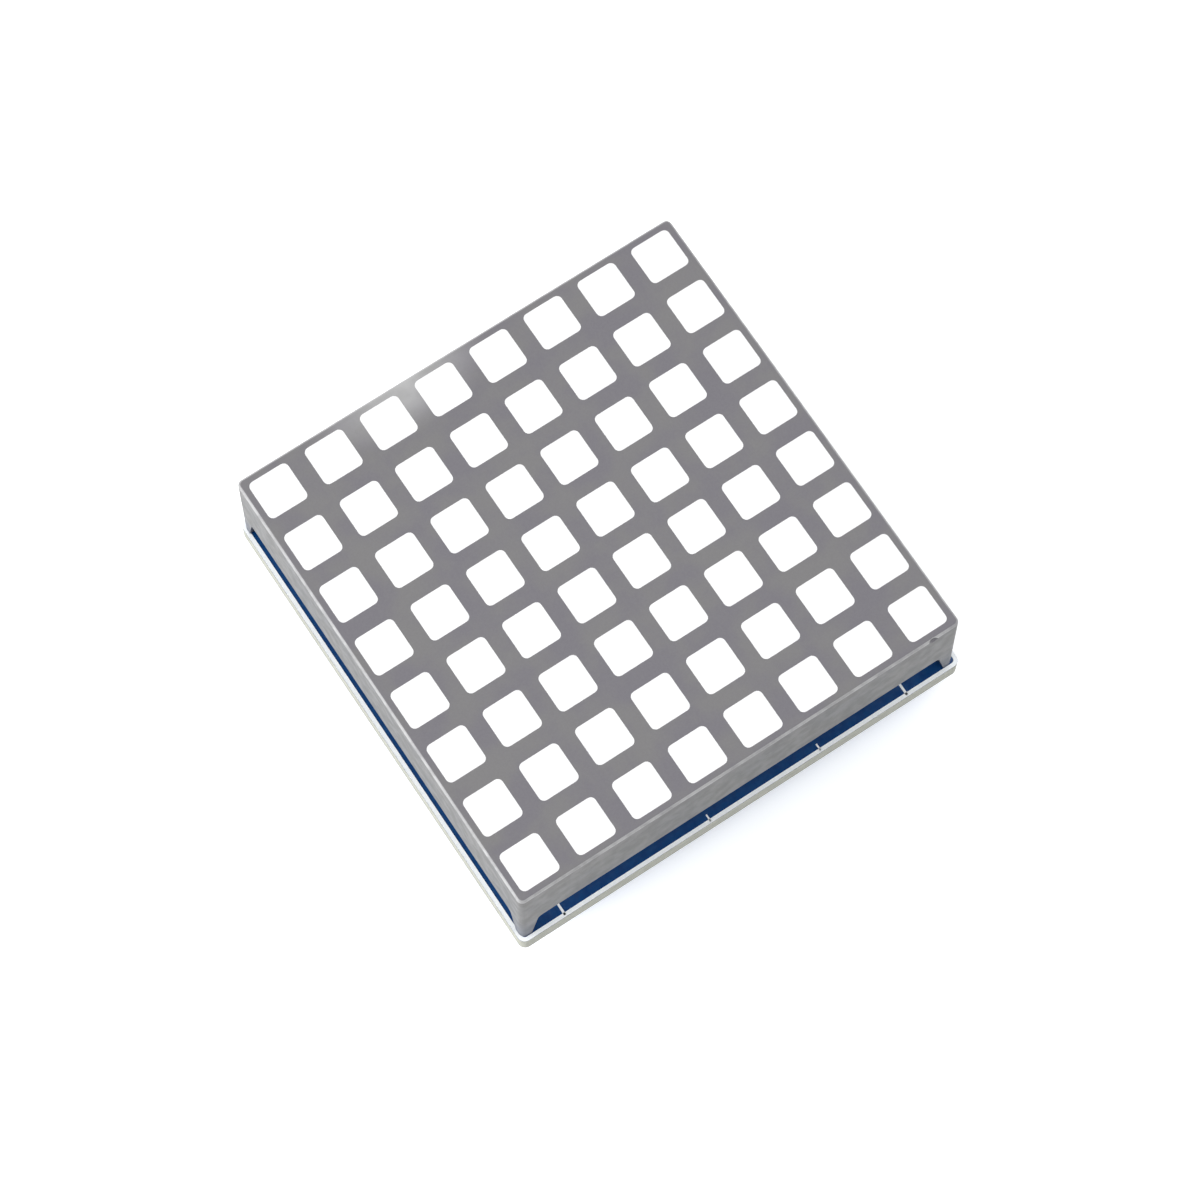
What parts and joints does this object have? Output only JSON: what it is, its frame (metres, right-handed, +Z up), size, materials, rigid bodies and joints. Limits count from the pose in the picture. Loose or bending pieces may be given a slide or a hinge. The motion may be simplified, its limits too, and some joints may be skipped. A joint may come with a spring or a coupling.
{
  "type": "led dot matrix",
  "caption": "Square-dot LED matrix in a drafted grey housing on corner feet, soldered by two rows of round pins to a blue driver board of its own size.",
  "frame": {"origin": "under the middle of the driver board, in the plane of the pin tips, on which the module stands", "axes": "+Z up out of the display face, +X along the dot rows and the pin rows, -Y the front edge"},
  "size_m": [0.0326, 0.0326, 0.0124],
  "materials": {
    "housing_grey": "smooth satin moulding",
    "milky_resin": "milk-white diffusing resin, satin",
    "bare_laminate": "bare glass-epoxy laminate",
    "led_chip": "semiconductor chip",
    "potting_resin": "clear-to-milky epoxy",
    "tinned_wire": "bright tinned wire",
    "blue_board": "blue solder mask on glass-epoxy laminate",
    "solder": "bright solder",
    "black_epoxy": "moulded epoxy package",
    "tinned_leads": "tinned leads",
    "chip_resistor": "black film on ceramic, tinned ends",
    "chip_ceramic": "tan ceramic, tinned ends"
  },
  "bodies": {
    "root": {"housing": "housing_grey", "pixel_row_1": "milky_resin", "pixel_row_2": "milky_resin", "pixel_row_3": "milky_resin", "pixel_row_4": "milky_resin", "pixel_row_5": "milky_resin", "pixel_row_6": "milky_resin", "pixel_row_7": "milky_resin", "pixel_row_8": "milky_resin", "chip_board": "bare_laminate", "led_dice": "led_chip", "potting": "potting_resin", "pin_1": "tinned_wire", "pin_2": "tinned_wire", "pin_3": "tinned_wire", "pin_4": "tinned_wire", "pin_5": "tinned_wire", "pin_6": "tinned_wire", "pin_7": "tinned_wire", "pin_8": "tinned_wire", "pin_9": "tinned_wire", "pin_10": "tinned_wire", "pin_11": "tinned_wire", "pin_12": "tinned_wire", "pin_13": "tinned_wire", "pin_14": "tinned_wire", "pin_15": "tinned_wire", "pin_16": "tinned_wire", "driver_board": "blue_board", "pin_solder": "solder", "driver_package": "black_epoxy", "driver_leads": "tinned_leads", "pull_up_resistor_1": "chip_resistor", "pull_up_resistor_2": "chip_resistor", "bypass_capacitor": "chip_ceramic", "bulk_capacitor": "chip_ceramic"}
  },
  "joints": []
}
